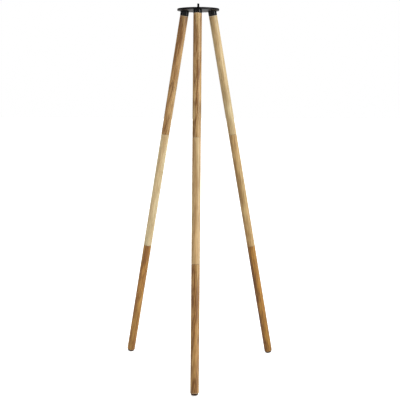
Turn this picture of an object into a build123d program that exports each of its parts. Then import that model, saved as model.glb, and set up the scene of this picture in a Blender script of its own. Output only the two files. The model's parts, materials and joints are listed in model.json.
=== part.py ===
from build123d import *
import os
from math import cos, radians, sin, tan

# A take-apart wooden tripod. A round steel plate carries a captive camera screw and three
# angled sockets, and a leg of three turned sections screws into each socket. Every section
# has a steel hanger bolt in its top end and every section but the lowest has a brass insert
# in its bottom end. Thin fibre washers sit in the joints, and rubber pads tip the legs.
# The origin is on the floor, under the middle of the plate. The front leg points along -Y.

# Plate
plate_diameter = 120.0
plate_thickness = 5.0
plate_edge_chamfer = 0.4

# Legs
leg_azimuths = {"front": -90.0, "right": 30.0, "left": 150.0}
section_names = ("upper", "middle", "lower")
splay_angle = 11.2
leg_diameter = 24.0
section_length = 350.0
section_chamfer = 0.5
foot_chamfer = 1.0

# Sockets under the plate, a hair wider than the legs
socket_circle_radius = 45.5
socket_step = 0.2
socket_length = 12.0
socket_chamfer = 0.5

# Countersunk screws that hold the sockets to the plate, two to a socket
socket_screw_diameter = 4.0
socket_screw_head_diameter = 8.0
socket_screw_grip = 7.0
socket_screw_tip_room = 0.8
socket_screw_key_width = 2.5
socket_screw_key_depth = 1.6
socket_screw_clearance = 0.25

# Hanger bolts, brass inserts and washers of the leg joints
bolt_diameter = 8.0
bolt_grip = 32.0
bolt_tip_chamfer = 0.8
thread_pitch = 1.25
thread_clearance = 0.05
socket_tip_room = 1.2
insert_wall = 2.0
insert_length = 20.0
insert_tip_room = 2.5
washer_recess = 0.8
washer_thickness = 0.6
washer_bore_clearance = 0.25

# Feet, as wide as the chamfered end of a leg, less a step
pad_step = 0.2
pad_thickness = 6.0
pad_rounding = 5.6
foot_screw_diameter = 4.0
foot_screw_length = 22.0
foot_screw_head_diameter = 8.0
foot_screw_head_height = 2.2
foot_screw_head_clearance = 0.4
pad_floor_under_head = 2.0

# Captive camera screw, a quarter inch across, with a knob below the plate
stud_diameter = 6.35
stud_height = 15.0
stud_tip_chamfer = 0.8
neck_diameter = 5.0
neck_clearance = 0.05
neck_end_play = 0.1
neck_mouth_clearance = 0.2
knob_diameter = 18.0
knob_height = 10.0
knob_edge_chamfer = 0.8
knob_floor = 3.0
knob_flutes = 20
knob_flute_radius = 0.8
knob_washer_diameter = 14.0
knob_washer_thickness = 0.8

# Sizes that follow from the leg, the bolt and the knob
splay = radians(splay_angle)
socket_diameter = leg_diameter + 2 * socket_step
washer_diameter = leg_diameter - 2 * washer_recess
pad_diameter = leg_diameter - 2 * (foot_chamfer + pad_step)
insert_diameter = bolt_diameter + 2 * insert_wall
knob_grip = knob_height - knob_floor

# The socket's screws stand in the middle of its wall. Its bolt stops short of the plate,
# whose underside slants across the bolt's tip.
socket_screw_spacing = (socket_diameter + bolt_diameter) / 2
socket_engagement = socket_length - bolt_diameter / 2 * tan(splay) - socket_tip_room
insert_engagement = insert_length - insert_tip_room

# Where the pieces lie along a leg's axis, counted from the plate's underside
section_pitch = washer_thickness + section_length
section_starts = [
    socket_length + washer_thickness + section_pitch * number
    for number in range(len(section_names))
]
wood_end = section_starts[-1] + section_length
leg_length = wood_end + pad_thickness

# Heights. The pad's rounded edge is the lowest point of a leg that leans.
pad_reach = (pad_diameter / 2 - pad_rounding) * sin(splay) + pad_rounding * (1 - cos(splay))
plate_bottom = leg_length * cos(splay) + pad_reach
plate_top = plate_bottom + plate_thickness

os.makedirs("parts", exist_ok=True)


def leg_plane(azimuth):
    """The plane at the top of a leg: its Z runs down the leg's axis."""
    a = radians(azimuth)
    return Plane(
        origin=(socket_circle_radius * cos(a), socket_circle_radius * sin(a), plate_bottom),
        x_dir=(-sin(a), cos(a), 0),
        z_dir=(sin(splay) * cos(a), sin(splay) * sin(a), -cos(splay)),
    )


def screw_points(azimuth):
    """The places of a socket's two screws, in the plane of the plate."""
    a = radians(azimuth)
    x, y = socket_circle_radius * cos(a), socket_circle_radius * sin(a)
    side = socket_screw_spacing / 2
    return [(x - s * side * sin(a), y + s * side * cos(a)) for s in (-1, 1)]


def save(piece, name):
    piece.part.label = name
    export_step(piece.part, f"parts/{name}.step")


def make_top_plate(points):
    with BuildPart() as top_plate:
        with BuildSketch(Plane.XY.offset(plate_bottom)):
            Circle(plate_diameter / 2)
        extrude(amount=plate_thickness)
        chamfer(top_plate.edges(), length=plate_edge_chamfer)
        with Locations(Plane.XY.offset(plate_top)):
            CounterSinkHole(
                neck_diameter / 2 + neck_clearance,
                stud_diameter / 2 + neck_mouth_clearance,
                counter_sink_angle=90,
            )
            with Locations(*points):
                CounterSinkHole(
                    socket_screw_diameter / 2 + socket_screw_clearance,
                    socket_screw_head_diameter / 2,
                    counter_sink_angle=90,
                )
    return top_plate


def make_socket_screws(points):
    head_radius = socket_screw_head_diameter / 2
    radius = socket_screw_diameter / 2
    length = plate_thickness + socket_screw_grip
    with BuildPart() as socket_screws:
        for x, y in points:
            side_plane = Plane(origin=(x, y, plate_top), x_dir=(1, 0, 0), z_dir=(0, -1, 0))
            with BuildSketch(side_plane):
                with BuildLine():
                    Polyline(
                        (0, 0),
                        (head_radius, 0),
                        (radius, radius - head_radius),
                        (radius, -length),
                        (0, -length),
                        close=True,
                    )
                make_face()
            revolve(axis=Axis((x, y, plate_top), (0, 0, 1)))
        with BuildSketch(Plane.XY.offset(plate_top)):
            with Locations(*points):
                RegularPolygon(socket_screw_key_width / 2, 6, major_radius=False)
        extrude(amount=-socket_screw_key_depth, mode=Mode.SUBTRACT)
    return socket_screws


def make_leg_socket(leg, points):
    # The blank starts above the plate's underside and is cut off flush with it.
    blank_overrun = socket_diameter / 2
    with BuildPart() as leg_socket:
        with BuildSketch(leg.offset(-blank_overrun)):
            Circle(socket_diameter / 2)
        extrude(amount=blank_overrun + socket_length)
        chamfer(leg_socket.edges().sort_by(Axis.Z)[0], length=socket_chamfer)
        with BuildSketch(leg.offset(-blank_overrun)):
            Circle(bolt_diameter / 2 + thread_clearance)
        extrude(amount=blank_overrun + socket_length, mode=Mode.SUBTRACT)
        split(bisect_by=Plane.XY.offset(plate_bottom), keep=Keep.BOTTOM)
        with BuildSketch(Plane.XY.offset(plate_bottom)):
            with Locations(*points):
                Circle(socket_screw_diameter / 2)
        extrude(amount=-(socket_screw_grip + socket_screw_tip_room), mode=Mode.SUBTRACT)
    return leg_socket


def make_section(leg, start, end_chamfer, end_bore_radius, end_bore_depth):
    """A turned wooden rod, bored for its hanger bolt above and for an insert or screw below."""
    with BuildPart() as section:
        with BuildSketch(leg.offset(start)):
            Circle(leg_diameter / 2)
        extrude(amount=section_length)
        chamfer(section.edges().filter_by(GeomType.CIRCLE).sort_by(Axis.Z)[-1], length=section_chamfer)
        chamfer(section.edges().filter_by(GeomType.CIRCLE).sort_by(Axis.Z)[0], length=end_chamfer)
        with BuildSketch(leg.offset(start)):
            Circle(bolt_diameter / 2)
        extrude(amount=bolt_grip, mode=Mode.SUBTRACT)
        with BuildSketch(leg.offset(start + section_length)):
            Circle(end_bore_radius)
        extrude(amount=-end_bore_depth, mode=Mode.SUBTRACT)
    return section


def make_bolt(leg, start, engagement):
    """A hanger bolt: it is fixed in a section's top end and screws into the piece above."""
    reach = washer_thickness + engagement
    with BuildPart() as bolt:
        with BuildSketch(leg.offset(start - reach)):
            Circle(bolt_diameter / 2)
        extrude(amount=reach + bolt_grip)
        chamfer(bolt.edges().filter_by(GeomType.CIRCLE), length=bolt_tip_chamfer)
    return bolt


def make_insert(leg, end):
    """A brass insert, flush with a section's bottom end."""
    with BuildPart() as insert:
        with BuildSketch(leg.offset(end)):
            Circle(insert_diameter / 2)
            Circle(bolt_diameter / 2 + thread_clearance, mode=Mode.SUBTRACT)
        extrude(amount=-insert_length)
    return insert


def make_joint_washer(leg, start):
    with BuildPart() as washer:
        with BuildSketch(leg.offset(start)):
            Circle(washer_diameter / 2)
            Circle(bolt_diameter / 2 + washer_bore_clearance, mode=Mode.SUBTRACT)
        extrude(amount=-washer_thickness)
    return washer


def make_foot_pad(leg):
    head_room_radius = foot_screw_head_diameter / 2 + foot_screw_head_clearance
    head_room_depth = pad_thickness - pad_floor_under_head
    with BuildPart() as foot_pad:
        with BuildSketch(leg.offset(wood_end)):
            Circle(pad_diameter / 2)
        extrude(amount=pad_thickness)
        fillet(foot_pad.edges().sort_by(Axis.Z)[0], radius=pad_rounding)
        with BuildSketch(leg.offset(wood_end)):
            Circle(foot_screw_diameter / 2)
        extrude(amount=pad_thickness, mode=Mode.SUBTRACT)
        with BuildSketch(leg.offset(leg_length)):
            Circle(head_room_radius)
        extrude(amount=-head_room_depth, mode=Mode.SUBTRACT)
    return foot_pad


def make_foot_screw(leg):
    head_seat = wood_end + pad_floor_under_head
    with BuildPart() as foot_screw:
        with BuildSketch(leg.offset(head_seat)):
            Circle(foot_screw_head_diameter / 2)
        extrude(amount=foot_screw_head_height)
        with BuildSketch(leg.offset(head_seat)):
            Circle(foot_screw_diameter / 2)
        extrude(amount=-foot_screw_length)
    return foot_screw


def make_camera_screw():
    """The quarter-inch stud stands above the plate. Its undercut neck turns in the plate."""
    knob_seat = plate_bottom - neck_end_play - knob_washer_thickness
    with BuildPart() as camera_screw:
        with BuildSketch(Plane.XY.offset(plate_top + neck_end_play)):
            Circle(stud_diameter / 2)
        extrude(amount=stud_height - neck_end_play)
        chamfer(camera_screw.edges().sort_by(Axis.Z)[-1], length=stud_tip_chamfer)
        with BuildSketch(Plane.XY.offset(knob_seat - knob_grip)):
            Circle(neck_diameter / 2)
        extrude(amount=knob_grip + plate_top + neck_end_play - knob_seat)
    return camera_screw


def make_camera_screw_knob():
    knob_top = plate_bottom - neck_end_play - knob_washer_thickness
    with BuildPart() as camera_screw_knob:
        with BuildSketch(Plane.XY.offset(knob_top)):
            Circle(knob_diameter / 2)
        extrude(amount=-knob_height)
        chamfer(camera_screw_knob.edges(), length=knob_edge_chamfer)
        with BuildSketch(Plane.XY.offset(knob_top)):
            Circle(neck_diameter / 2)
        extrude(amount=-knob_grip, mode=Mode.SUBTRACT)
        with BuildSketch(Plane.XY.offset(knob_top)):
            with PolarLocations(knob_diameter / 2, knob_flutes):
                Circle(knob_flute_radius)
        extrude(amount=-knob_height, mode=Mode.SUBTRACT)
    return camera_screw_knob


def make_camera_screw_washer():
    with BuildPart() as camera_screw_washer:
        with BuildSketch(Plane.XY.offset(plate_bottom - neck_end_play)):
            Circle(knob_washer_diameter / 2)
            Circle(neck_diameter / 2 + neck_clearance, mode=Mode.SUBTRACT)
        extrude(amount=-knob_washer_thickness)
    return camera_screw_washer


def make_leg(side, azimuth):
    """Every piece of one leg, with its socket, as a dictionary of names and pieces."""
    leg = leg_plane(azimuth)
    pieces = {f"{side}_leg_socket": make_leg_socket(leg, screw_points(azimuth))}
    for name, start in zip(section_names, section_starts):
        is_lowest = name == section_names[-1]
        is_uppermost = name == section_names[0]
        if is_lowest:
            end_chamfer = foot_chamfer
            end_bore = foot_screw_diameter / 2, foot_screw_length - pad_floor_under_head
        else:
            end_chamfer = section_chamfer
            end_bore = insert_diameter / 2, insert_length
            pieces[f"{side}_{name}_insert"] = make_insert(leg, start + section_length)
        engagement = socket_engagement if is_uppermost else insert_engagement
        pieces[f"{side}_{name}_section"] = make_section(leg, start, end_chamfer, *end_bore)
        pieces[f"{side}_{name}_bolt"] = make_bolt(leg, start, engagement)
        pieces[f"{side}_{name}_washer"] = make_joint_washer(leg, start)
    pieces[f"{side}_foot_pad"] = make_foot_pad(leg)
    pieces[f"{side}_foot_screw"] = make_foot_screw(leg)
    return pieces


all_screw_points = [
    point for azimuth in leg_azimuths.values() for point in screw_points(azimuth)
]
tripod = {
    "top_plate": make_top_plate(all_screw_points),
    "socket_screws": make_socket_screws(all_screw_points),
    "camera_screw": make_camera_screw(),
    "camera_screw_knob": make_camera_screw_knob(),
    "camera_screw_washer": make_camera_screw_washer(),
}
for side, azimuth in leg_azimuths.items():
    tripod.update(make_leg(side, azimuth))
for name, piece in tripod.items():
    save(piece, name)
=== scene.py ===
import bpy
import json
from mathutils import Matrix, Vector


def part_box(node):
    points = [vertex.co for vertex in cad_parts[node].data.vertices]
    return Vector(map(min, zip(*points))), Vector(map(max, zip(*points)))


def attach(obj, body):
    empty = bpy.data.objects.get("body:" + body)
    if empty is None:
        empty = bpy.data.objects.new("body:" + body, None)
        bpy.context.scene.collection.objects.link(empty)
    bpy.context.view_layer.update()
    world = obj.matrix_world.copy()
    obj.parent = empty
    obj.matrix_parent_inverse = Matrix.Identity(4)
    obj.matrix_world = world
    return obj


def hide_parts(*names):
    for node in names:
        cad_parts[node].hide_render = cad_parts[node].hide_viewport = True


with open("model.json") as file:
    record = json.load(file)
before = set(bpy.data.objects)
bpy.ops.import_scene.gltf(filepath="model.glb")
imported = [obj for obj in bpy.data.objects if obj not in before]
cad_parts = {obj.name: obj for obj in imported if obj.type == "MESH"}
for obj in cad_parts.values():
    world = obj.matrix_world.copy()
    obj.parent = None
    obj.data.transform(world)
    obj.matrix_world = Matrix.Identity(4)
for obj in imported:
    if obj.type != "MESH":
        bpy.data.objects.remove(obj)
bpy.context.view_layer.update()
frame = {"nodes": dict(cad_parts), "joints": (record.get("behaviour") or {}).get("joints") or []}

import json
from math import cos, floor, hypot, pi, radians, sin
from typing import NamedTuple

import bmesh
import bpy
from mathutils import Matrix, Vector

# The looks of a take-apart wooden tripod. Every CAD node is replaced by a finer mesh in the
# same place: turned rods with rounded edges, real threads, a fluted knob and screw recesses.
# Sizes come from the CAD nodes, and what they don't hold is named here, in metres.

MM = 0.001
SIDES = ("front", "right", "left")
SECTIONS = ("upper", "middle", "lower")
joints = {joint["name"]: joint for joint in frame["joints"]}
plate_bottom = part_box("top_plate")[0].z
plate_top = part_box("top_plate")[1].z


# ---------------------------------------------------------------- places in the frame


def leg_frame(side, section):
    """A section's own frame: the origin on the leg's axis at the section's top, Z down the leg."""
    joint = joints[f"{side}_{section}_unscrew"]
    down = Vector(joint["axis"]).normalized()
    level = Vector((0, 0, 1)).cross(down).normalized()
    matrix = Matrix((level, down.cross(level), down)).transposed().to_4x4()
    matrix.translation = joint["pos_m"]
    return matrix


def upright_frame(x, y, z):
    """A frame that stands upright at that place."""
    return Matrix.Translation((x, y, z))


def span(node, matrix):
    """(outer radius, lowest Z, highest Z) of a CAD node in that frame."""
    inverse = matrix.inverted()
    points = [inverse @ vertex.co for vertex in frame["nodes"][node].data.vertices]
    heights = [point.z for point in points]
    return max(hypot(point.x, point.y) for point in points), min(heights), max(heights)


# ---------------------------------------------------------------- meshes


def at(term, angle):
    """A ring's radius or height at that angle."""
    return term(angle) if callable(term) else term


def spun(name, rings, segments=64, matrix=Matrix(), closed=False, sharp_angle=40):
    """A mesh spun round Z. A ring is (radius, height), and both may be functions of the angle.
    A ring of radius 0 is one point. A closed piece joins its last ring to its first."""
    mesh = bmesh.new()
    rows = []
    for radius, height in rings:
        if not callable(radius) and radius == 0:
            rows.append([mesh.verts.new((0, 0, at(height, 0)))])
            continue
        row = []
        for step in range(segments):
            angle = 2 * pi * step / segments
            r = at(radius, angle)
            row.append(mesh.verts.new((r * cos(angle), r * sin(angle), at(height, angle))))
        rows.append(row)
    pairs = list(zip(rows, rows[1:]))
    if closed:
        pairs.append((rows[-1], rows[0]))
    for first, second in pairs:
        for step in range(segments):
            after = (step + 1) % segments
            corners = [
                first[step % len(first)],
                first[after % len(first)],
                second[after % len(second)],
                second[step % len(second)],
            ]
            mesh.faces.new(dict.fromkeys(corners))
    bmesh.ops.recalc_face_normals(mesh, faces=mesh.faces)
    return finished(name, mesh, matrix, sharp_angle)


def finished(name, mesh, matrix, sharp_angle):
    """The object of a worked-out mesh, moved by that matrix, in the scene."""
    data = bpy.data.meshes.new(name)
    mesh.to_mesh(data)
    mesh.free()
    data.shade_smooth()
    data.set_sharp_from_angle(angle=radians(sharp_angle))
    data.transform(matrix)
    piece = bpy.data.objects.new(name, data)
    bpy.context.scene.collection.objects.link(piece)
    return piece


def rounding(radius, height, size, toward, steps=5):
    """Rings round an outer edge of that radius whose flat end is at height.
    toward is the side that the piece lies on along Z: 1 above the end, -1 below it.
    They run from the end face to the side wall."""
    turns = [pi / 2 * step / steps for step in range(steps + 1)]
    return [
        (radius - size * (1 - sin(turn)), height + toward * size * (1 - cos(turn)))
        for turn in turns
    ]


def softened(before, corner, after, size, steps=4):
    """Rings of a corner that a smooth curve cuts off, from size before it to size after it."""
    corner = Vector(corner)
    start = corner + (Vector(before) - corner).normalized() * size
    end = corner + (Vector(after) - corner).normalized() * size
    shares = [step / steps for step in range(steps + 1)]
    return [
        tuple(start * (1 - share) ** 2 + corner * 2 * share * (1 - share) + end * share**2)
        for share in shares
    ]


def thread(radius, depth, pitch, low, high, limit=None, rings_per_turn=8):
    """Rings of a right-hand thread from low to high. Its crests have that radius, and its
    roots lie depth further in. limit(height) caps the radius."""
    root_flat, flank = 0.12, 0.76

    def radius_at(height):
        def ring(angle):
            phase = height / pitch - angle / (2 * pi)
            from_root = abs(2 * (phase - floor(phase)) - 1)
            share = min(max((from_root - root_flat) / flank, 0), 1)
            r = radius - depth * (1 - share)
            return min(r, limit(height)) if limit else r

        return ring

    count = max(2, round((high - low) / pitch * rings_per_turn))
    heights = [low + (high - low) * step / count for step in range(count + 1)]
    return [(radius_at(height), height) for height in heights]


def hexagon(half_width):
    """A radius that makes a ring a hexagon."""

    def ring(angle):
        return half_width / cos((angle + pi / 6) % (pi / 3) - pi / 6)

    return ring


def place(piece, node, body, material):
    """Gives a piece its material, and puts it in its CAD node's place."""
    piece.data.materials.append(material)
    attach(piece, body)
    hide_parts(node)


# ---------------------------------------------------------------- material building


class Nodes:
    """A node tree, with one short call for each node. A value may be a number or a socket."""

    def __init__(self, tree):
        self.tree = tree

    def add(self, kind, inputs=None, **settings):
        node = self.tree.nodes.new(kind)
        for key, value in settings.items():
            setattr(node, key, value)
        for key, value in (inputs or {}).items():
            self.feed(node.inputs[key], value)
        return node

    def feed(self, socket, value):
        if isinstance(value, bpy.types.NodeSocket):
            self.tree.links.new(value, socket)
        else:
            socket.default_value = value

    def math(self, operation, *values):
        node = self.add("ShaderNodeMath", operation=operation)
        for socket, value in zip(node.inputs, values):
            self.feed(socket, value)
        return node.outputs[0]

    def split(self, vector):
        return self.add("ShaderNodeSeparateXYZ", {"Vector": vector}).outputs

    def camera_sees(self):
        return self.add("ShaderNodeLightPath").outputs["Is Camera Ray"]

    def places(self, matrix=Matrix()):
        """Coordinates in the frame of that matrix, in metres."""
        inverse = matrix.inverted()
        return self.mapped(
            self.add("ShaderNodeTexCoord").outputs["Object"],
            shift=inverse.translation,
            turn=inverse.to_euler(),
        )

    def mapped(self, vector, scale=(1, 1, 1), shift=(0, 0, 0), turn=(0, 0, 0)):
        inputs = {"Vector": vector, "Scale": scale, "Location": shift, "Rotation": turn}
        return self.add("ShaderNodeMapping", inputs).outputs[0]

    def noise(self, vector, scale=1.0, detail=2.0, roughness=0.5):
        inputs = {"Vector": vector, "Scale": scale, "Detail": detail, "Roughness": roughness}
        return self.add("ShaderNodeTexNoise", inputs).outputs["Fac"]

    def spread(self, value, low, high, new_low=0.0, new_high=1.0):
        inputs = {
            "Value": value,
            "From Min": low,
            "From Max": high,
            "To Min": new_low,
            "To Max": new_high,
        }
        return self.add("ShaderNodeMapRange", inputs, clamp=True).outputs[0]

    def ramp(self, value, stops):
        node = self.add("ShaderNodeValToRGB", {"Fac": value})
        elements = node.color_ramp.elements
        for position, colour in stops[1:-1]:
            elements.new(position)
        for element, (position, colour) in zip(elements, stops):
            element.position = position
            element.color = (*colour, 1)
        return node.outputs["Color"]

    def mix(self, share, first, second, blend="MIX"):
        node = self.add("ShaderNodeMix", data_type="RGBA", blend_type=blend)
        self.feed(node.inputs[0], share)
        self.feed(node.inputs[6], first)
        self.feed(node.inputs[7], second)
        return node.outputs[2]


class Shader(Nodes):
    """A new material and its surface."""

    def __init__(self, name):
        self.material = bpy.data.materials.new(name)
        self.material.use_nodes = True
        super().__init__(self.material.node_tree)
        self.surface = self.tree.nodes["Principled BSDF"]

    def edge_shade_gloss(self, level):
        """A gloss level that fades where the surface turns away from the view, so that edges lose
        their reflection and look darker: painted edge shade.
        """
        turned_away = self.add("ShaderNodeLayerWeight", {"Blend": 0.5}).outputs["Facing"]
        return self.spread(turned_away, 0.35, 0.85, level, 0.0)

    def bump(self, height, strength, distance):
        inputs = {"Height": height, "Strength": strength, "Distance": distance}
        self.feed(self.surface.inputs["Normal"], self.add("ShaderNodeBump", inputs).outputs[0])

    def set(self, **values):
        """Sets the surface's sockets, named with _ for each space."""
        for key, value in values.items():
            self.feed(self.surface.inputs[key.replace("_", " ")], value)


def grey(level):
    return (level, level, level)


def faded(colour, share, lift=0.0):
    """That colour times share, a little lifted, as a node takes it."""
    return (*[share * channel + lift for channel in colour], 1)


# ---------------------------------------------------------------- wood


class Wood(NamedTuple):
    """What makes one section's wood its own."""

    middle: tuple  # its middle colour
    contrast: float  # how far its grain strays from that
    facing: float  # the way its pith lies about the leg's axis, in radians
    slope: float  # how steeply its rings lean


WOODS = {
    ("left", "upper"): Wood((0.320, 0.187, 0.070), 0.85, 0.3, 0.05),
    ("left", "middle"): Wood((0.490, 0.390, 0.226), 0.35, 5.4, 0.03),
    ("left", "lower"): Wood((0.300, 0.148, 0.032), 0.70, 5.8, 0.04),
    ("front", "upper"): Wood((0.295, 0.178, 0.070), 1.00, 2.2, 0.06),
    ("front", "middle"): Wood((0.378, 0.255, 0.121), 0.50, 2.7, 0.02),
    ("front", "lower"): Wood((0.280, 0.152, 0.048), 1.05, 2.3, 0.07),
    ("right", "upper"): Wood((0.418, 0.310, 0.160), 0.45, 4.5, 0.05),
    ("right", "middle"): Wood((0.354, 0.233, 0.095), 0.62, 4.4, 0.04),
    ("right", "lower"): Wood((0.230, 0.103, 0.013), 1.10, 5.0, 0.06),
}

PITH_DISTANCE = 34 * MM
RING_WIDTH = 5.0 * MM
RING_DRIFT = 16 * MM
HEART_BLEND = 11 * MM

# How fine each layer is, in cells per metre, across the rod twice and then along it.
DRIFT_SCALE = (34, 34, 9)
HUE_SCALE = (60, 60, 5)
CLOUD_SCALE = (70, 70, 13)
FLAME_SCALE = (150, 150, 24)
STREAK_SCALE = (270, 270, 12)
FIBRE_SCALE = (1100, 1100, 16)
PORE_SCALE = (2300, 2300, 90)
SEED_STEP = (0.137, 0.211, 0.523)

# How much each layer brightens or darkens the wood.
HEART_SHARE = 0.3
RING_SHARE = 0.26
CLOUD_SHARE = 0.36
STREAK_SHARE = 0.28
FIBRE_SHARE = 0.14
TINT_SHARE = 0.7
FLAME_SHARE = 0.6
PORE_SHARE = 0.7
DARKENING = (0.52, 0.66, 0.84)
LIGHTENING = (0.45, 0.6, 0.8)

# The paler band at a rod's ends, a painted highlight along the end chamfers: how strong it is, how
# far it reaches and how it fades.
OPEN_END_HIGHLIGHT = 0.75
JOINT_END_HIGHLIGHT = 0.12
HIGHLIGHT_REACH = 1.0 * MM
HIGHLIGHT_FADE = 1.4 * MM


def year_rings(shader, places, drift, looks):
    """Two patterns: the year rings, from dark to pale, and the heart, lower towards the pith.
    The pith stands beside the rod, and the rings lean against it, so they cut the rod's
    surface in long tongues."""
    x, y, along = shader.split(places)
    toward = shader.math("MULTIPLY", x, -cos(looks.facing))
    toward = shader.math("MULTIPLY_ADD", y, -sin(looks.facing), toward)
    toward = shader.math("ADD", toward, PITH_DISTANCE)
    sideways = shader.math("MULTIPLY", x, -sin(looks.facing))
    sideways = shader.math("MULTIPLY_ADD", y, cos(looks.facing), sideways)
    sideways = shader.math("MULTIPLY", sideways, sideways)

    distance = shader.math("SQRT", shader.math("MULTIPLY_ADD", toward, toward, sideways))
    distance = shader.math("MULTIPLY_ADD", along, looks.slope, distance)
    distance = shader.math("MULTIPLY_ADD", drift, RING_DRIFT, distance)
    ring = shader.math("FRACT", shader.math("DIVIDE", distance, RING_WIDTH))
    levels = [(0.0, 0.15), (0.1, 0.0), (0.28, 0.4), (0.75, 1.0), (0.9, 0.85), (1.0, 0.15)]
    band = shader.ramp(ring, [(position, grey(level)) for position, level in levels])

    middle = PITH_DISTANCE + RING_DRIFT / 2
    heart = shader.math("MULTIPLY_ADD", drift, RING_DRIFT, toward)
    heart = shader.spread(heart, middle - HEART_BLEND, middle + HEART_BLEND, -0.5, 0.5)
    return band, heart


def painted_end_highlight(shader, places, length, end_edge, highlight_top, highlight_end):
    """How strong the painted highlight along a rod's end chamfers is: up to the two given levels at
    its top and at its end, and 0 elsewhere.
    """
    along = shader.split(places)[2]
    end = length - end_edge
    from_top = shader.spread(along, HIGHLIGHT_REACH, HIGHLIGHT_REACH + HIGHLIGHT_FADE, highlight_top, 0)
    from_end = shader.spread(along, end - HIGHLIGHT_REACH, end, 0, highlight_end)
    return shader.math("MAXIMUM", from_top, from_end)


def turned_wood(name, matrix, looks, seed, length, end_edge, highlight_top, highlight_end):
    """Oiled turned wood. Rings, clouds, streaks and fibres make its tone. Dark flames and
    pores lie over that, and its ends are painted paler, a painted highlight along their chamfers."""
    shader = Shader(name)
    places = shader.places(matrix)
    shift = [seed * step for step in SEED_STEP]

    def layer(scale, detail, roughness=0.5):
        return shader.noise(shader.mapped(places, scale, shift), 1.0, detail, roughness)

    band, heart = year_rings(shader, places, layer(DRIFT_SCALE, 3), looks)
    clouds = shader.spread(layer(CLOUD_SCALE, 4, 0.6), 0.39, 0.61)
    streaks = shader.spread(layer(STREAK_SCALE, 4, 0.6), 0.38, 0.62)
    fibres = layer(FIBRE_SCALE, 4)
    value = shader.math("MULTIPLY_ADD", heart, HEART_SHARE, shader.math("MULTIPLY", band, RING_SHARE))
    value = shader.math("MULTIPLY_ADD", clouds, CLOUD_SHARE, value)
    value = shader.math("MULTIPLY_ADD", streaks, STREAK_SHARE, value)
    value = shader.math("MULTIPLY_ADD", shader.spread(fibres, 0.35, 0.65), FIBRE_SHARE, value)
    dark = [m * (1 - looks.contrast * share) for m, share in zip(looks.middle, DARKENING)]
    light = [m * (1 + looks.contrast * share) for m, share in zip(looks.middle, LIGHTENING)]
    colour = shader.ramp(value, [(0.22, dark), (0.5, looks.middle), (0.8, light)])

    hues = layer(HUE_SCALE, 2)
    tint = shader.ramp(hues, [(0.35, (1.0, 0.9, 0.78)), (0.65, (0.95, 1.0, 1.0))])
    colour = shader.mix(TINT_SHARE, colour, tint, "MULTIPLY")

    flame = shader.spread(layer(FLAME_SCALE, 3, 0.6), 0.6, 0.7)
    flame = shader.math("MULTIPLY", flame, FLAME_SHARE * looks.contrast)
    colour = shader.mix(flame, colour, faded(dark, 0.62))

    pore = shader.math("MULTIPLY", shader.spread(layer(PORE_SCALE, 1), 0.6, 0.72), PORE_SHARE)
    pore = shader.math("MULTIPLY", pore, shader.math("SUBTRACT", 1.15, band))
    colour = shader.mix(pore, colour, faded(dark, 0.45))

    # Paler ends: a painted highlight along the end chamfers, which are also made rougher.
    highlight_mask = painted_end_highlight(shader, places, length, end_edge, highlight_top, highlight_end)
    shader.set(Base_Color=shader.mix(highlight_mask, colour, faded(light, 0.8, 0.12)))
    rough = shader.math("MULTIPLY_ADD", fibres, 0.2, 0.3)
    rough = shader.math("MULTIPLY_ADD", highlight_mask, 0.3, rough)
    # The gloss fades at grazing angles: painted shade along the rod's edges.
    shader.set(Roughness=rough, IOR=1.45, Specular_IOR_Level=shader.edge_shade_gloss(0.42))
    shader.bump(shader.math("MULTIPLY_ADD", pore, -1.2, fibres), 0.3, 0.12 * MM)
    return shader.material


# ---------------------------------------------------------------- other materials


def black_coat(name, rough_low, specular):
    """Black coat, with its fine orange peel and a little dust and rub."""
    shader = Shader(name)
    places = shader.places()
    peel = shader.noise(places, scale=700, detail=2)
    patches = shader.noise(places, scale=45, detail=4)
    rub = shader.noise(places, scale=260, detail=5, roughness=0.7)
    colour = shader.ramp(patches, [(0.3, grey(0.0012)), (0.7, (0.0026, 0.0026, 0.003))])
    scuff = shader.spread(rub, 0.64, 0.8)
    colour = shader.mix(shader.math("MULTIPLY", scuff, 0.5), colour, (0.02, 0.02, 0.021, 1))
    shader.set(Base_Color=colour)
    rough = shader.math("MULTIPLY_ADD", patches, 0.14, rough_low)
    shader.set(Roughness=shader.math("MULTIPLY_ADD", scuff, 0.2, rough), IOR=1.4)
    shader.set(Specular_IOR_Level=specular)
    shader.bump(peel, 0.2, 0.04 * MM)
    return shader.material


def black_oxide():
    """Matt black oxide, a little greyer where threads have rubbed it."""
    shader = Shader("black_oxide")
    places = shader.places()
    patches = shader.noise(places, scale=260, detail=4)
    rub = shader.noise(places, scale=900, detail=4, roughness=0.7)
    colour = shader.ramp(patches, [(0.3, grey(0.001)), (0.75, grey(0.003))])
    worn = shader.math("MULTIPLY", shader.spread(rub, 0.6, 0.78), 0.4)
    shader.set(Base_Color=shader.mix(worn, colour, (0.012, 0.011, 0.010, 1)))
    shader.set(Roughness=shader.math("MULTIPLY_ADD", patches, 0.2, 0.45), IOR=1.4)
    # The gloss fades at grazing angles: painted shade along the stud's edges.
    shader.set(Specular_IOR_Level=shader.edge_shade_gloss(0.06))
    shader.bump(rub, 0.2, 0.02 * MM)
    return shader.material


def blackened_steel():
    """Blackened steel of the fixing screws, patchy, with a fine grain."""
    shader = Shader("blackened_steel")
    places = shader.places()
    patches = shader.noise(places, scale=320, detail=4)
    grain = shader.noise(places, scale=2200, detail=2)
    colour = shader.ramp(patches, [(0.3, (0.006, 0.006, 0.007)), (0.75, (0.016, 0.015, 0.015))])
    shader.set(Base_Color=colour, Metallic=0.4)
    shader.set(Roughness=shader.math("MULTIPLY_ADD", grain, 0.3, 0.22))
    shader.bump(grain, 0.2, 0.03 * MM)
    return shader.material


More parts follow.
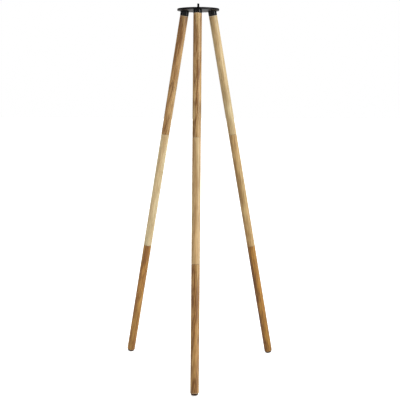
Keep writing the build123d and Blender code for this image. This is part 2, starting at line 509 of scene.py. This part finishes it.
def plated_metal(name, pale, tarnished, rough_low):
    """Machined or plated metal with a fine grain and a little tarnish."""
    shader = Shader(name)
    places = shader.places()
    tarnish = shader.noise(places, scale=240, detail=5, roughness=0.65)
    grain = shader.noise(places, scale=3000, detail=2)
    shader.set(Base_Color=shader.ramp(tarnish, [(0.35, pale), (0.75, tarnished)]), Metallic=1.0)
    rough = shader.math("MULTIPLY_ADD", tarnish, 0.25, rough_low)
    shader.set(Roughness=shader.math("MULTIPLY_ADD", grain, 0.1, rough))
    shader.bump(grain, 0.15, 0.02 * MM)
    return shader.material


def fibre():
    """Dark pressed fibre, matt, with short fibres showing."""
    shader = Shader("black_fibre")
    places = shader.places()
    hairs = shader.noise(shader.mapped(places, (2400, 700, 2400)), detail=3)
    colour = shader.ramp(hairs, [(0.3, (0.010, 0.008, 0.007)), (0.75, (0.04, 0.03, 0.024))])
    shader.set(Base_Color=colour)
    shader.set(Roughness=shader.math("MULTIPLY_ADD", hairs, 0.2, 0.75))
    shader.bump(hairs, 0.5, 0.05 * MM)
    return shader.material


def rubber():
    """Dark brown rubber, matt, with dust on it and a fine moulded grain."""
    shader = Shader("dark_rubber")
    places = shader.places()
    grain = shader.noise(places, scale=1700, detail=2)
    dust = shader.noise(places, scale=210, detail=5, roughness=0.7)
    colour = shader.ramp(dust, [(0.35, (0.026, 0.011, 0.003)), (0.75, (0.055, 0.027, 0.011))])
    shader.set(Base_Color=colour, Roughness=shader.math("MULTIPLY_ADD", dust, 0.25, 0.6))
    shader.set(Specular_IOR_Level=0.2)
    shader.bump(grain, 0.4, 0.06 * MM)
    return shader.material


satin_coat = black_coat("black_satin_coat", 0.34, 0.16)
gloss_coat = black_coat("black_gloss_coat", 0.2, 0.26)
oxide = black_oxide()
dark_steel = blackened_steel()
zinc = plated_metal("zinc_plated_steel", (0.66, 0.67, 0.68), (0.42, 0.41, 0.38), 0.2)
brass = plated_metal("machined_brass", (0.80, 0.58, 0.26), (0.50, 0.33, 0.13), 0.18)
washer_fibre = fibre()
pad_rubber = rubber()


# ---------------------------------------------------------------- the plate and what is on it

PLATE_ROUNDING = 0.4 * MM
CUTTER_MARGIN = 1.0 * MM
STUD_THREAD_PITCH = 1.27 * MM
STUD_THREAD_DEPTH = 0.3 * MM
STUD_TIP_CHAMFER = 0.8 * MM
SCREW_HEAD_RADIUS = 4.0 * MM
SCREW_HEAD_GAP = 0.03 * MM
SCREW_SHANK_RADIUS = 2.0 * MM
SCREW_HOLE_RADIUS = 2.25 * MM
SCREW_THREAD_PITCH = 0.7 * MM
SCREW_THREAD_DEPTH = 0.4 * MM
HEX_HALF_WIDTH = 1.25 * MM
HEX_DEPTH = 1.6 * MM
NECK_RADIUS = 2.5 * MM
NECK_END_PLAY = 0.1 * MM
NECK_HOLE_RADIUS = 2.55 * MM
NECK_MOUTH_RADIUS = 3.375 * MM
KNOB_FLUTES = 20
KNOB_FLUTE_RADIUS = 0.8 * MM
KNOB_EDGE = 0.8 * MM
KNOB_BORE_DEPTH = 7.0 * MM
KNOB_RIM = 2.4 * MM
KNOB_DISH = 0.4 * MM
WASHER_FACE_GAP = 0.02 * MM


def screw_places():
    """The centres of the socket screws, from the solids of their CAD node."""
    mesh = bmesh.new()
    mesh.from_mesh(frame["nodes"]["socket_screws"].data)
    bmesh.ops.remove_doubles(mesh, verts=mesh.verts, dist=0.001 * MM)
    left = set(mesh.verts)
    centres = []
    while left:
        found, todo = set(), [left.pop()]
        while todo:
            vertex = todo.pop()
            found.add(vertex)
            around = {edge.other_vert(vertex) for edge in vertex.link_edges} & left
            left -= around
            todo += around
        xs = [vertex.co.x for vertex in found]
        ys = [vertex.co.y for vertex in found]
        centres.append(((min(xs) + max(xs)) / 2, (min(ys) + max(ys)) / 2))
    mesh.free()
    return sorted(centres)


def cut_away(piece, cutters):
    """Cuts the cutters out of a piece, and removes them."""
    bpy.context.view_layer.update()
    for cutter in cutters:
        cut = piece.modifiers.new("hole", "BOOLEAN")
        cut.object = cutter
        cut.solver = "EXACT"
    bpy.context.view_layer.update()
    shaped = piece.evaluated_get(bpy.context.evaluated_depsgraph_get())
    piece.data = bpy.data.meshes.new_from_object(shaped)
    piece.modifiers.clear()
    piece.data.shade_smooth()
    piece.data.set_sharp_from_angle(angle=radians(30))
    for cutter in cutters:
        bpy.data.objects.remove(cutter)


def make_plate(centres):
    """The round plate, with its neck hole and a countersunk hole for each socket screw."""
    radius = span("top_plate", upright_frame(0, 0, 0))[0]
    thickness = plate_top - plate_bottom
    rings = [(0, 0)]
    rings += rounding(radius, 0, PLATE_ROUNDING, 1)
    rings += rounding(radius, thickness, PLATE_ROUNDING, -1)[::-1]
    rings += [(0, thickness)]
    plate = spun("plate_disc", rings, 192, upright_frame(0, 0, plate_bottom))
    past_top = thickness + CUTTER_MARGIN
    mouth_depth = NECK_MOUTH_RADIUS - NECK_HOLE_RADIUS
    head_depth = SCREW_HEAD_RADIUS - SCREW_HOLE_RADIUS
    neck_rings = [
        (0, -CUTTER_MARGIN),
        (NECK_HOLE_RADIUS, -CUTTER_MARGIN),
        (NECK_HOLE_RADIUS, thickness - mouth_depth),
        (NECK_MOUTH_RADIUS, thickness),
        (NECK_MOUTH_RADIUS, past_top),
        (0, past_top),
    ]
    screw_rings = [
        (0, -CUTTER_MARGIN),
        (SCREW_HOLE_RADIUS, -CUTTER_MARGIN),
        (SCREW_HOLE_RADIUS, thickness - head_depth),
        (SCREW_HEAD_RADIUS, thickness),
        (SCREW_HEAD_RADIUS, past_top),
        (0, past_top),
    ]
    holes = [(neck_rings, 0, 0)] + [(screw_rings, x, y) for x, y in centres]
    cutters = [
        spun("hole_cutter", rings, 48, upright_frame(x, y, plate_bottom)) for rings, x, y in holes
    ]
    cut_away(plate, cutters)
    place(plate, "top_plate", "plate_assembly", satin_coat)


def make_socket_screws(centres):
    """Countersunk screws with a hexagonal recess, their heads flush with the plate."""
    low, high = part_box("socket_screws")
    length = high.z - low.z
    cone_depth = SCREW_HEAD_RADIUS - SCREW_SHANK_RADIUS
    head_radius = SCREW_HEAD_RADIUS - SCREW_HEAD_GAP
    root_radius = SCREW_SHANK_RADIUS - SCREW_THREAD_DEPTH
    rings = [
        (0, -HEX_DEPTH - 0.35 * MM),
        (hexagon(HEX_HALF_WIDTH * 0.96), -HEX_DEPTH),
        (hexagon(HEX_HALF_WIDTH), -0.12 * MM),
        (hexagon(HEX_HALF_WIDTH + 0.12 * MM), 0),
        (SCREW_HEAD_RADIUS - 0.22 * MM, 0),
        (head_radius - 0.05 * MM, -0.08 * MM),
        (head_radius - 0.1 * MM, -0.2 * MM),
        (SCREW_SHANK_RADIUS - 0.05 * MM, -cone_depth),
    ]
    rings += thread(
        SCREW_SHANK_RADIUS,
        SCREW_THREAD_DEPTH,
        SCREW_THREAD_PITCH,
        SCREW_THREAD_DEPTH - length,
        -cone_depth - MM,
        rings_per_turn=6,
    )[::-1]
    rings += [(root_radius, -length), (0, -length)]
    for number, (x, y) in enumerate(centres, 1):
        screw = spun(f"socket_screw_{number}", rings, 48, upright_frame(x, y, plate_top))
        place(screw, "socket_screws", "plate_assembly", dark_steel)


def make_camera_screw():
    """The threaded stud above the plate, and the plain neck below it that turns in the plate."""
    base = upright_frame(0, 0, plate_top)
    radius, low, high = span("camera_screw", base)
    end_chamfer = 0.3 * MM
    thread_start = NECK_END_PLAY + 0.2 * MM

    def tip(height):
        return radius - max(0, height - (high - STUD_TIP_CHAMFER))

    rings = [(0, low), (NECK_RADIUS - end_chamfer, low), (NECK_RADIUS, low + end_chamfer)]
    rings += [(NECK_RADIUS, NECK_END_PLAY), (radius - STUD_THREAD_DEPTH, NECK_END_PLAY)]
    rings += thread(radius, STUD_THREAD_DEPTH, STUD_THREAD_PITCH, thread_start, high, tip, 10)
    rings += [(0, high)]
    screw = spun("camera_stud", rings, 48, base)
    place(screw, "camera_screw", "camera_screw", oxide)


def make_knob():
    """The fluted knob under the plate, dished below, with a bore for the screw's neck."""
    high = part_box("camera_screw_knob")[1].z
    base = upright_frame(0, 0, high)
    radius, low, _ = span("camera_screw_knob", base)

    def fluted(outer):
        def ring(angle):
            nearest = (angle * KNOB_FLUTES / (2 * pi) + 0.5) % 1 - 0.5
            across = abs(nearest) * 2 * pi / KNOB_FLUTES * radius
            if across >= KNOB_FLUTE_RADIUS:
                return outer
            return min(outer, radius - (KNOB_FLUTE_RADIUS**2 - across**2) ** 0.5)

        return ring

    edge = KNOB_EDGE
    step = 0.3 * edge
    plain = radius - edge - 1.5 * MM
    rings = [(0, -KNOB_BORE_DEPTH), (NECK_RADIUS, -KNOB_BORE_DEPTH), (NECK_RADIUS, 0)]
    rings += [(plain, 0), (fluted(radius - edge), 0)]
    rings += [(fluted(radius - step), -step), (fluted(radius), -edge)]
    rings += [(fluted(radius), low * share) for share in (0.3, 0.5, 0.7)]
    rings += [(fluted(radius), low + edge), (fluted(radius - step), low + step)]
    rings += [(fluted(radius - edge), low), (radius - KNOB_RIM, low)]
    rings += [(radius - KNOB_RIM - KNOB_DISH, low + KNOB_DISH), (0, low + KNOB_DISH)]
    knob = spun("camera_knob", rings, 240, base)
    place(knob, "camera_screw_knob", "camera_screw", gloss_coat)


def make_washer(name, node, body, matrix, bore_radius, edge):
    """A flat washer with softened edges, and a hair of room above and below it."""
    radius, low, high = span(node, matrix)
    low, high = low + WASHER_FACE_GAP, high - WASHER_FACE_GAP
    outside = rounding(radius, low, edge, 1, 3) + rounding(radius, high, edge, -1, 3)[::-1]
    rings = [(bore_radius, low)] + outside + [(bore_radius, high)]
    washer = spun(name, rings, 96, matrix, closed=True)
    place(washer, node, body, washer_fibre)


def make_knob_washer():
    base = upright_frame(0, 0, plate_bottom)
    edge = 0.15 * MM
    make_washer(
        "camera_knob_washer", "camera_screw_washer", "camera_screw", base, NECK_HOLE_RADIUS, edge
    )


# ---------------------------------------------------------------- the legs

BOLT_PITCH = 1.25 * MM
BOLT_THREAD_DEPTH = 0.7 * MM
BOLT_TIP = 0.8 * MM
BOLT_POINT = 3.0 * MM
BOLT_WAIST_LOW = 0.2 * MM
BOLT_WAIST_HIGH = 3.0 * MM
BOLT_WAIST_CUT = 0.12 * MM
WOOD_THREAD_PITCH = 3.0 * MM
WOOD_THREAD_DEPTH = 1.0 * MM
BORE_RADIUS = 4.05 * MM
BORE_THREAD_DEPTH = 0.5 * MM
WASHER_BORE_RADIUS = 4.25 * MM
WASHER_EDGE = 0.12 * MM
SOCKET_EDGE = 0.5 * MM
SOCKET_MOUTH = 0.5 * MM
SOCKET_THREAD_START = 1.5 * MM
INSERT_EDGE = 0.2 * MM
INSERT_MOUTH = 0.6 * MM
ROD_EDGE = 0.5 * MM
TURNING_MARK = 0.02 * MM
TURNING_STEPS = 40
FOOT_CHAMFER = 1.0 * MM
FOOT_SOFTENING = 0.3 * MM
FOOT_SCREW_RADIUS = 2.0 * MM
FOOT_SCREW_BORE = 20.0 * MM
FOOT_SCREW_PITCH = 1.8 * MM
FOOT_SCREW_POINT = 3.0 * MM
FOOT_SCREW_HEAD_WALL = 0.9 * MM
CROSS_DEPTH = 1.1 * MM
CROSS_HALF_WIDTH = 0.55 * MM
CROSS_REACH = 2.3 * MM
PAD_ROUNDING = 5.6 * MM
PAD_EDGE = 0.3 * MM
PAD_MOUTH = 0.3 * MM
HEAD_ROOM_RADIUS = 4.4 * MM
HEAD_SEAT = 2.0 * MM


def bore_thread(low, high):
    """Rings of the thread in a bolt's bore, listed from high to low."""
    crest = BORE_RADIUS + BORE_THREAD_DEPTH
    return thread(crest, BORE_THREAD_DEPTH, BOLT_PITCH, low, high)[::-1]


def make_socket(side):
    """The socket's top is cut off in the plate's plane, across its own axis."""
    matrix = leg_frame(side, SECTIONS[0])
    node = f"{side}_leg_socket"
    radius, _, high = span(node, matrix)
    origin, level, across, along = matrix.translation, matrix.col[0], matrix.col[1], matrix.col[2]

    def cut_height(ring_radius):
        def height(angle):
            lift = across.z * ring_radius * sin(angle) + level.z * ring_radius * cos(angle)
            return (plate_bottom - origin.z - lift) / along.z

        return height

    top = cut_height(0)(0)
    rings = [(BORE_RADIUS, cut_height(BORE_RADIUS)), (radius, cut_height(radius))]
    rings += rounding(radius, high, SOCKET_EDGE, -1)[::-1]
    rings += [(BORE_RADIUS + SOCKET_MOUTH, high)]
    rings += bore_thread(top + SOCKET_THREAD_START, high - SOCKET_MOUTH)
    socket = spun(f"{side}_socket_boss", rings, 96, matrix, closed=True)
    place(socket, node, "plate_assembly", gloss_coat)


def make_rod(side, section, number):
    """A turned wooden section, bored at both ends. Its own number sets its turning marks."""
    matrix = leg_frame(side, section)
    node = f"{side}_{section}_section"
    radius, low, high = span(node, matrix)
    bolt_radius, _, grip = span(f"{side}_{section}_bolt", matrix)
    is_lowest = section == SECTIONS[-1]
    if is_lowest:
        bore_radius, bore_depth, end_edge = FOOT_SCREW_RADIUS, FOOT_SCREW_BORE, FOOT_CHAMFER
    else:
        bore_radius, bore_low, _ = span(f"{side}_{section}_insert", matrix)
        bore_depth, end_edge = high - bore_low, ROD_EDGE
    mean_radius = radius - TURNING_MARK

    def turned(height):
        def ring(angle):
            wave = sin(angle * 2 + height * 61 + number) * sin(height * 23 + number * 2)
            return mean_radius - TURNING_MARK * wave

        return ring

    start, end = low + ROD_EDGE, high - end_edge - FOOT_SOFTENING
    heights = [start + (end - start) * step / TURNING_STEPS for step in range(1, TURNING_STEPS)]
    rings = [(0, grip), (bolt_radius, grip), (bolt_radius, low)]
    rings += rounding(mean_radius, low, ROD_EDGE, 1)
    rings += [(turned(height), height) for height in heights]
    if is_lowest:
        wall, face = (mean_radius, high - end_edge), (radius - end_edge, high)
        rings += softened((mean_radius, low), wall, face, FOOT_SOFTENING)
        rings += softened(wall, face, (0, high), FOOT_SOFTENING)
    else:
        rings += rounding(mean_radius, high, end_edge, -1)[::-1]
    rings += [(bore_radius, high), (bore_radius, high - bore_depth), (0, high - bore_depth)]
    rod = spun(f"{side}_{section}_rod", rings, 96, matrix)

    looks = WOODS[side, section]
    # How strong the painted highlight is at the rod's top and at its end.
    highlight_top = OPEN_END_HIGHLIGHT if section == SECTIONS[0] else JOINT_END_HIGHLIGHT
    highlight_end = OPEN_END_HIGHLIGHT if is_lowest else JOINT_END_HIGHLIGHT
    name = f"wood_{side}_{section}"
    length = high - low
    wood = turned_wood(name, matrix, looks, number, length, end_edge, highlight_top, highlight_end)
    place(rod, node, f"{side}_{section}_section", wood)


def make_bolt(side, section):
    """A hanger bolt: a machine thread above, a plain waist and a coarse wood thread below."""
    matrix = leg_frame(side, section)
    node = f"{side}_{section}_bolt"
    radius, low, high = span(node, matrix)

    def tip(height):
        return radius - max(0, low + BOLT_TIP - height)

    def point(height):
        return radius - 0.7 * max(0, height - (high - BOLT_POINT))

    machine_end = -0.4 * MM
    wood_start = BOLT_WAIST_HIGH + 0.5 * MM
    waist = radius - BOLT_WAIST_CUT
    rings = [(0, low)]
    rings += thread(radius, BOLT_THREAD_DEPTH, BOLT_PITCH, low, machine_end, tip)
    rings += [(waist, BOLT_WAIST_LOW), (waist, BOLT_WAIST_HIGH)]
    rings += thread(radius, WOOD_THREAD_DEPTH, WOOD_THREAD_PITCH, wood_start, high, point)
    rings += [(0, high)]
    bolt = spun(f"{side}_{section}_hanger_bolt", rings, 40, matrix)
    place(bolt, node, f"{side}_{section}_section", zinc)


def make_insert(side, section):
    """The threaded brass sleeve in a section's lower end."""
    matrix = leg_frame(side, section)
    node = f"{side}_{section}_insert"
    radius, low, high = span(node, matrix)
    rings = [(BORE_RADIUS, low), (radius, low), (radius, high - INSERT_EDGE)]
    rings += [(radius - INSERT_EDGE, high), (BORE_RADIUS + INSERT_MOUTH, high)]
    rings += bore_thread(low + BORE_THREAD_DEPTH, high - INSERT_MOUTH)
    insert = spun(f"{side}_{section}_thread_insert", rings, 48, matrix, closed=True)
    place(insert, node, f"{side}_{section}_section", brass)


def make_pad(side):
    """The rubber foot pad, domed below, with room for its screw's head."""
    matrix = leg_frame(side, SECTIONS[-1])
    node = f"{side}_foot_pad"
    radius, low, high = span(node, matrix)
    seat = low + HEAD_SEAT
    rings = [(FOOT_SCREW_RADIUS, low)]
    rings += rounding(radius, low, PAD_EDGE, 1, 3)
    rings += rounding(radius, high, PAD_ROUNDING, -1, 12)[::-1]
    rings += [(HEAD_ROOM_RADIUS + PAD_MOUTH, high), (HEAD_ROOM_RADIUS, high - PAD_MOUTH)]
    rings += [(HEAD_ROOM_RADIUS, seat), (FOOT_SCREW_RADIUS, seat)]
    pad = spun(f"{side}_foot_bumper", rings, 96, matrix, closed=True)
    place(pad, node, f"{side}_{SECTIONS[-1]}_section", pad_rubber)


def make_foot_screw(side):
    """The wood screw that holds a foot pad: a domed head with a cross recess."""
    matrix = leg_frame(side, SECTIONS[-1])
    node = f"{side}_foot_screw"
    head_radius, low, high = span(node, matrix)
    seat = span(f"{side}_foot_pad", matrix)[1] + HEAD_SEAT

    def crossed(radius, height):
        """The height of a ring of the head's top, sunk where the cross recess is."""

        def ring(angle):
            x, y = abs(radius * cos(angle)), abs(radius * sin(angle))
            inside = min(x, y) < CROSS_HALF_WIDTH and radius < CROSS_REACH
            return height - (CROSS_DEPTH * (1 - radius / CROSS_REACH * 0.6) if inside else 0)

        return ring

    def point(height):
        return FOOT_SCREW_RADIUS - 0.55 * max(0, low + FOOT_SCREW_POINT - height)

    # Each is a share of the head's radius, and how far the dome has dropped there.
    dome = [(0.2, 0.0), (0.4, 0.02), (0.56, 0.05), (0.6, 0.06), (0.8, 0.18), (0.93, 0.4)]
    rings = [(0, high - CROSS_DEPTH)]
    rings += [
        (share * head_radius, crossed(share * head_radius, high - drop * MM))
        for share, drop in dome
    ]
    rings += [(head_radius, high - FOOT_SCREW_HEAD_WALL), (head_radius, seat)]
    rings += [(FOOT_SCREW_RADIUS, seat), (FOOT_SCREW_RADIUS, seat - 3 * MM)]
    rings += thread(
        FOOT_SCREW_RADIUS, 0.6 * MM, FOOT_SCREW_PITCH, low, seat - 3.2 * MM, point, 6
    )[::-1]
    rings += [(0, low)]
    screw = spun(f"{side}_foot_fixing_screw", rings, 64, matrix)
    place(screw, node, f"{side}_{SECTIONS[-1]}_section", zinc)


def make_leg_washer(side, section):
    name = f"{side}_{section}_fibre_ring"
    node = f"{side}_{section}_washer"
    matrix = leg_frame(side, section)
    make_washer(name, node, node, matrix, WASHER_BORE_RADIUS, WASHER_EDGE)


screw_centres = screw_places()
make_plate(screw_centres)
make_socket_screws(screw_centres)
make_camera_screw()
make_knob()
make_knob_washer()
number = 0
for side in SIDES:
    make_socket(side)
    for section in SECTIONS:
        number += 1
        make_rod(side, section, number)
        make_bolt(side, section)
        if section != SECTIONS[-1]:
            make_insert(side, section)
        make_leg_washer(side, section)
    make_pad(side)
    make_foot_screw(side)


# ---------------------------------------------------------------- floor, light and camera

FLOOR_SIZE = 40.0
FLOOR_GLOW = 0.4
SIDE_GLOW = 0.2
LEAST_GLOW = 0.15


def make_floor():
    """A pale floor, brighter to the camera than to the object, and clear from below."""
    data = bpy.data.meshes.new("floor")
    half = FLOOR_SIZE / 2
    corners = [(-half, -half, 0), (half, -half, 0), (half, half, 0), (-half, half, 0)]
    data.from_pydata(corners, [], [(0, 1, 2, 3)])
    floor_piece = bpy.data.objects.new("floor", data)
    bpy.context.scene.collection.objects.link(floor_piece)
    shader = Shader("pale_floor")
    mottle = shader.noise(shader.places(), scale=3.0, detail=3)
    seen = shader.camera_sees()
    lighting = shader.ramp(mottle, [(0.0, grey(0.93)), (1.0, grey(0.97))])
    visible = shader.ramp(mottle, [(0.0, grey(0.77)), (1.0, grey(0.81))])
    shader.set(Base_Color=shader.mix(seen, visible, lighting), Roughness=0.9, IOR=1.2)
    glow = shader.math("MULTIPLY", seen, FLOOR_GLOW)
    shader.set(Emission_Color=(1, 1, 1, 1), Emission_Strength=glow)
    beneath = shader.add("ShaderNodeNewGeometry").outputs["Backfacing"]
    clear = shader.add("ShaderNodeBsdfTransparent").outputs[0]
    either = shader.add("ShaderNodeMixShader")
    for socket, value in zip(either.inputs, (beneath, shader.surface.outputs[0], clear)):
        shader.feed(socket, value)
    shader.feed(shader.tree.nodes["Material Output"].inputs["Surface"], either.outputs[0])
    data.materials.append(shader.material)


def make_lamp(name, location, target, size, power):
    data = bpy.data.lights.new(name, "AREA")
    data.shape = "RECTANGLE"
    data.size, data.size_y = size
    data.energy = power
    lamp = bpy.data.objects.new(name, data)
    bpy.context.scene.collection.objects.link(lamp)
    aim = (Vector(target) - Vector(location)).normalized()
    lamp.rotation_euler = aim.to_track_quat("-Z", "Y").to_euler()
    lamp.location = location


def make_world():
    """A white room for the camera. It lights the object from above and from the right, and
    leaves the front and the left dim."""
    world = bpy.data.worlds.new("studio")
    world.use_nodes = True
    room = Nodes(world.node_tree)
    direction = room.add("ShaderNodeTexCoord").outputs["Generated"]
    x, _, z = room.split(direction)
    ceiling = room.math("MULTIPLY", room.spread(z, 0.25, 0.9), room.spread(x, -1, 1, 1.1, 2.1))
    glow = room.math("MULTIPLY_ADD", room.spread(x, 0.2, 0.95), SIDE_GLOW, ceiling)
    glow = room.math("ADD", glow, LEAST_GLOW)
    background = room.tree.nodes["Background"]
    background.inputs["Color"].default_value = (1, 1, 1, 1)
    room.feed(background.inputs["Strength"], room.math("MAXIMUM", room.camera_sees(), glow))
    bpy.context.scene.world = world


# The camera stands almost straight in front of the front leg. Its distance and its height are
# in heights of the plate.
CAMERA_TURN = radians(2.12)
CAMERA_DISTANCE = 2.2765
CAMERA_HEIGHT = 0.7882
CAMERA_PITCH = radians(7.770)
CAMERA_YAW = radians(0.133)
CAMERA_ROLL = radians(0.066)
CAMERA_LENS_MM = 74.0
SENSOR_MM = 36.0


def make_camera():
    """The view, looking a little down. Its turn is about the plate's axis, from the front."""
    heading = CAMERA_TURN - CAMERA_YAW
    forward = Vector(
        (
            -sin(heading) * cos(CAMERA_PITCH),
            cos(heading) * cos(CAMERA_PITCH),
            -sin(CAMERA_PITCH),
        )
    )
    level = Vector((cos(heading), sin(heading), 0))
    rise = level.cross(forward)
    right = level * cos(CAMERA_ROLL) + rise * sin(CAMERA_ROLL)
    up = rise * cos(CAMERA_ROLL) - level * sin(CAMERA_ROLL)
    matrix = Matrix((right, up, -forward)).transposed().to_4x4()
    distance = CAMERA_DISTANCE * plate_top
    matrix.translation = (
        distance * sin(CAMERA_TURN),
        -distance * cos(CAMERA_TURN),
        CAMERA_HEIGHT * plate_top,
    )
    data = bpy.data.cameras.new("camera")
    data.lens = CAMERA_LENS_MM
    data.sensor_width = SENSOR_MM
    camera = bpy.data.objects.new("camera", data)
    bpy.context.scene.collection.objects.link(camera)
    camera.matrix_world = matrix
    bpy.context.scene.camera = camera


make_floor()
make_world()
make_lamp("key", (2.6, -1.55, 1.3), (0, 0, 0.5), (0.9, 2.4), 68)
make_lamp("strip", (-2.1, -1.65, 1.4), (0, 0, 0.7), (0.25, 1.8), 11)
make_camera()
bpy.context.scene.view_settings.view_transform = "Standard"

bpy.context.view_layer.update()
